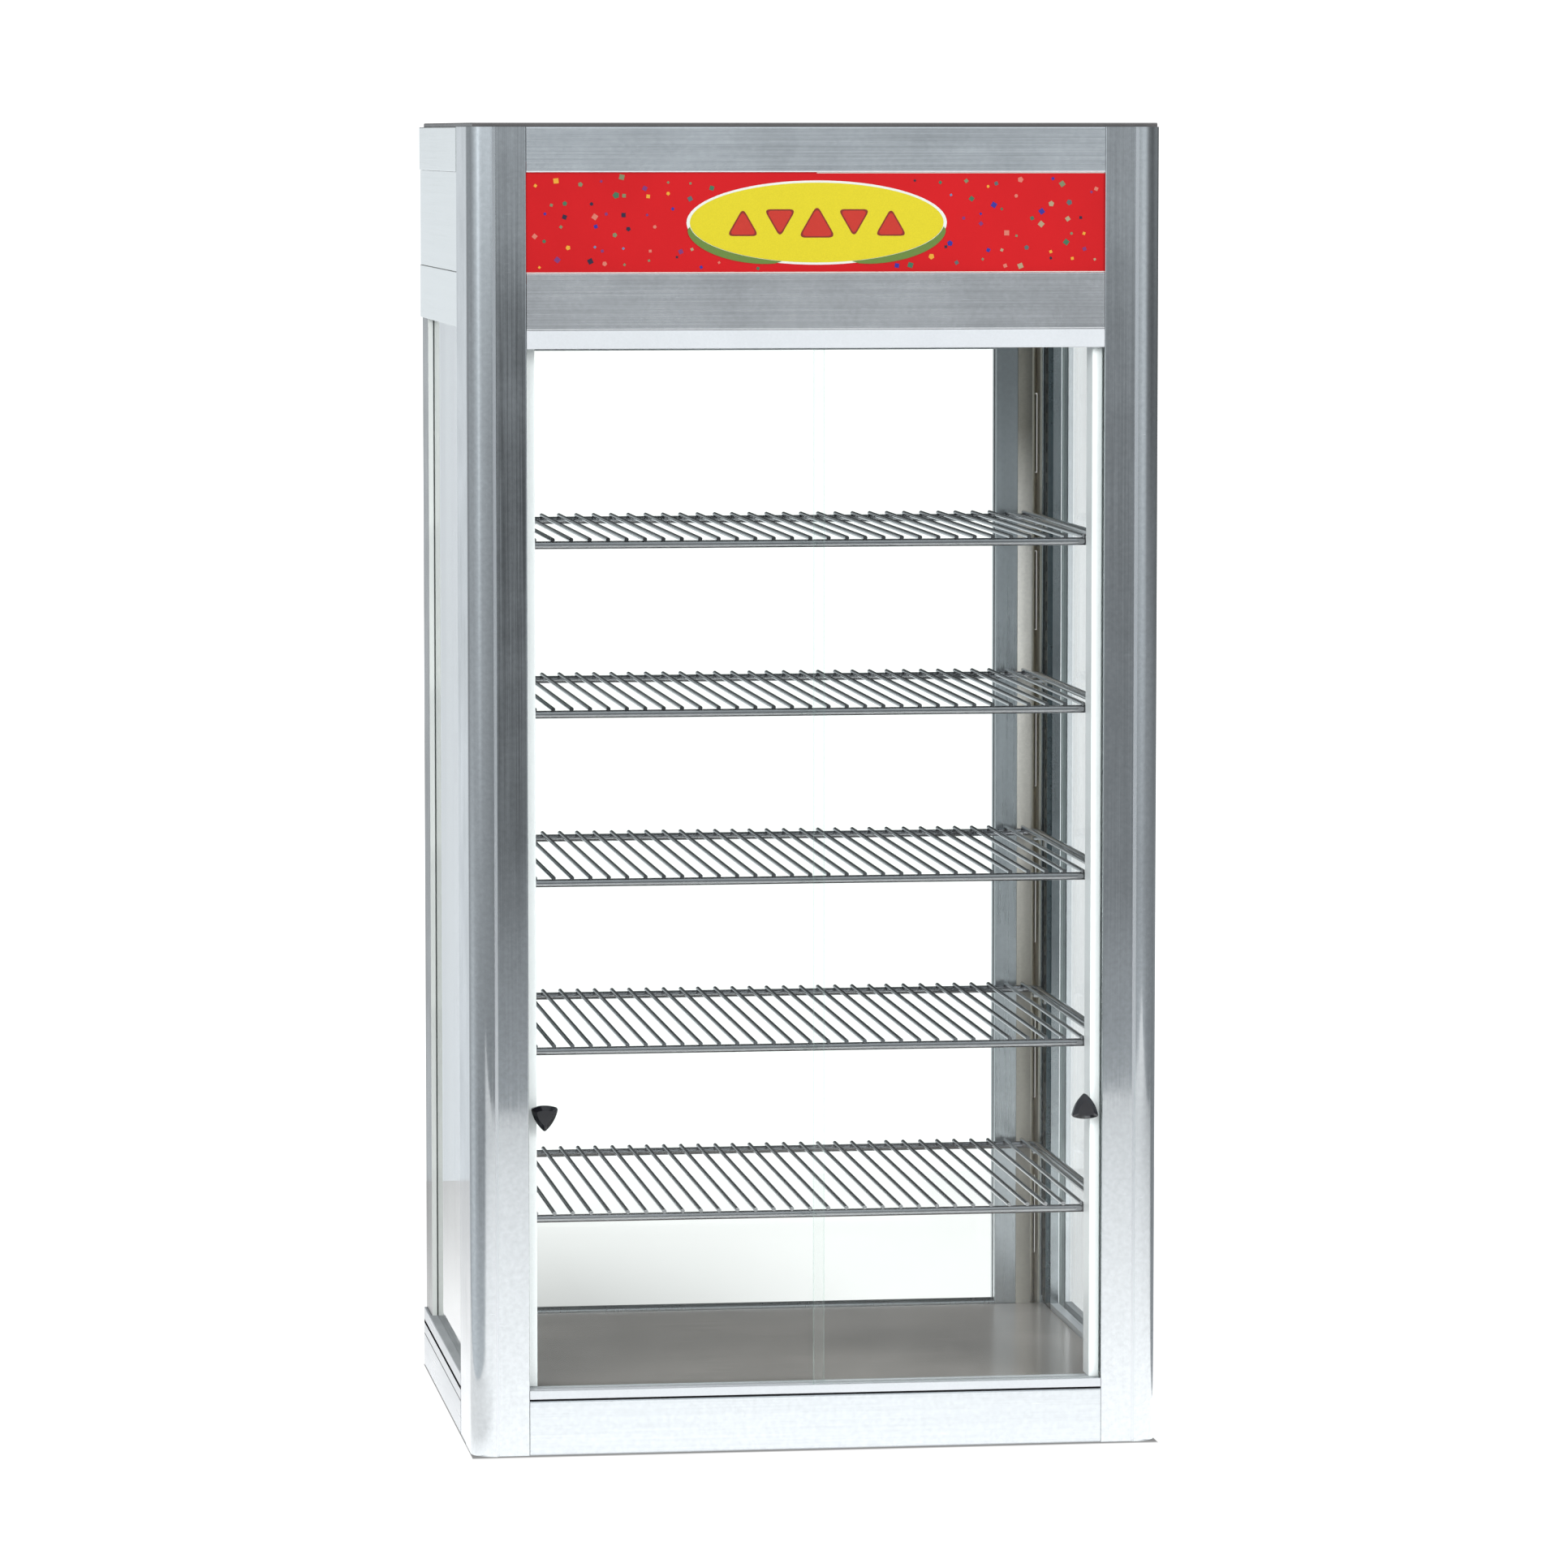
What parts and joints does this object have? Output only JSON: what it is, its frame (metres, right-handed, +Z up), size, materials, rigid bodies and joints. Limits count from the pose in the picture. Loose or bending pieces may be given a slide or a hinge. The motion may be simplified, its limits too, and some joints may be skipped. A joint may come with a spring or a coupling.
{
  "type": "glass door merchandiser",
  "caption": "Countertop glass display cabinet with wire shelves, two bypass sliding front doors, a hinged rear door, a lit sign header and a fan heater.",
  "frame": {"origin": "middle of the footprint, on the surface that the cabinet stands on", "axes": "+Z up, -Y towards the customer at the sliding doors, +X to the right as seen from that side"},
  "size_m": [0.525, 0.4575, 1.004],
  "materials": {
    "satin_post": "satin drawn",
    "side_skin": "satin",
    "brushed_rail": "brushed along X",
    "brushed_sheet": "brushed",
    "galvanised_sheet": "mill",
    "stainless_deck": "brushed",
    "clear_glass": "polished",
    "sign_acrylic": "gloss",
    "white_plastic": "satin",
    "black_gloss": "gloss",
    "chrome_wire": "bright",
    "steel_hardware": "zinc",
    "hinge_steel": "mill",
    "door_frame": "satin",
    "black_plastic": "matte",
    "screw_steel": "bright",
    "fan_black": "matte",
    "element_steel": "heat tinted",
    "white_enamel": "gloss",
    "lamp_glass": "frosted",
    "phenolic": "matte",
    "control_black": "satin"
  },
  "bodies": {
    "cabinet": {"front_left_post": "satin_post", "front_right_post": "satin_post", "rear_left_post": "satin_post", "rear_right_post": "satin_post", "left_glazing_stile": "satin_post", "right_glazing_stile": "satin_post", "left_base_panel": "side_skin", "right_base_panel": "side_skin", "left_header_band": "side_skin", "right_header_band": "side_skin", "left_upper_panel": "side_skin", "right_upper_panel": "side_skin", "left_top_rail": "side_skin", "right_top_rail": "side_skin", "left_side_glass": "clear_glass", "right_side_glass": "clear_glass", "top_front_rail": "brushed_rail", "sign_panel": "sign_acrylic", "front_header_rail": "brushed_rail", "roof_panel": "brushed_sheet", "top_door_track": "white_plastic", "bottom_door_track": "white_plastic", "left_jamb": "white_plastic", "right_jamb": "white_plastic", "front_base_panel": "brushed_rail", "rear_sill": "brushed_sheet", "base_pan": "galvanised_sheet", "deck": "stainless_deck", "shelf_pilasters": "steel_hardware", "shelf_clips": "steel_hardware", "hinge_frame_leaf": "hinge_steel", "hinge_pin": "hinge_steel", "door_catch": "black_plastic", "header_tray": "galvanised_sheet", "rear_header_panel": "brushed_sheet", "cabinet_screws": "screw_steel", "fan_frame": "fan_black", "heater_element": "element_steel", "lamp_batten": "white_enamel", "lamp_tube": "lamp_glass", "thermostat_body": "phenolic", "switch_body": "control_black", "power_inlet": "control_black"},
    "left_front_door": {"left_door_glass": "clear_glass", "left_door_pull": "black_gloss"},
    "right_front_door": {"right_door_glass": "clear_glass", "right_door_pull": "black_gloss"},
    "rear_door": {"rear_door_stiles": "door_frame", "rear_door_rails": "door_frame", "rear_door_glass": "clear_glass", "rear_door_handle": "black_plastic", "hinge_door_leaf": "hinge_steel"},
    "knob": {"thermostat_knob": "control_black"},
    "rocker": {"switch_rocker": "control_black"},
    "rotor": {"fan_rotor": "fan_black"},
    "shelf_1": {"shelf_1": "chrome_wire"},
    "shelf_2": {"shelf_2": "chrome_wire"},
    "shelf_3": {"shelf_3": "chrome_wire"},
    "shelf_4": {"shelf_4": "chrome_wire"},
    "shelf_5": {"shelf_5": "chrome_wire"}
  },
  "joints": [
    {"name": "left_door_slide", "type": "slide", "parent": "cabinet", "child": "left_front_door", "axis": [1, 0, 0], "range_m": [0, 0.2]},
    {"name": "right_door_slide", "type": "slide", "parent": "cabinet", "child": "right_front_door", "axis": [-1, 0, 0], "range_m": [0, 0.2]},
    {"name": "rear_door_hinge", "type": "hinge", "parent": "cabinet", "child": "rear_door", "pos_m": [0.2365, 0.212, 0.4337], "axis": [0, 0, -1], "range_deg": [0, 170]},
    {"name": "thermostat_turn", "type": "hinge", "parent": "cabinet", "child": "knob", "pos_m": [0.15, 0.212, 0.935], "axis": [0, -1, 0], "range_deg": [0, 300]},
    {"name": "switch_rock", "type": "hinge", "parent": "cabinet", "child": "rocker", "pos_m": [0.085, 0.2095, 0.935], "axis": [1, 0, 0], "range_deg": [0, 16]},
    {"name": "fan_spin", "type": "hinge", "parent": "cabinet", "child": "rotor", "pos_m": [0, 0.06, 0.865], "axis": [0, 0, 1], "continuous": true},
    {"name": "shelf_1_lift", "type": "slide", "parent": "cabinet", "child": "shelf_1", "axis": [0, 0, 1], "range_m": [0, 0.015]},
    {"name": "shelf_2_lift", "type": "slide", "parent": "cabinet", "child": "shelf_2", "axis": [0, 0, 1], "range_m": [0, 0.015]},
    {"name": "shelf_3_lift", "type": "slide", "parent": "cabinet", "child": "shelf_3", "axis": [0, 0, 1], "range_m": [0, 0.015]},
    {"name": "shelf_4_lift", "type": "slide", "parent": "cabinet", "child": "shelf_4", "axis": [0, 0, 1], "range_m": [0, 0.015]},
    {"name": "shelf_5_lift", "type": "slide", "parent": "cabinet", "child": "shelf_5", "axis": [0, 0, 1], "range_m": [0, 0.015]}
  ]
}
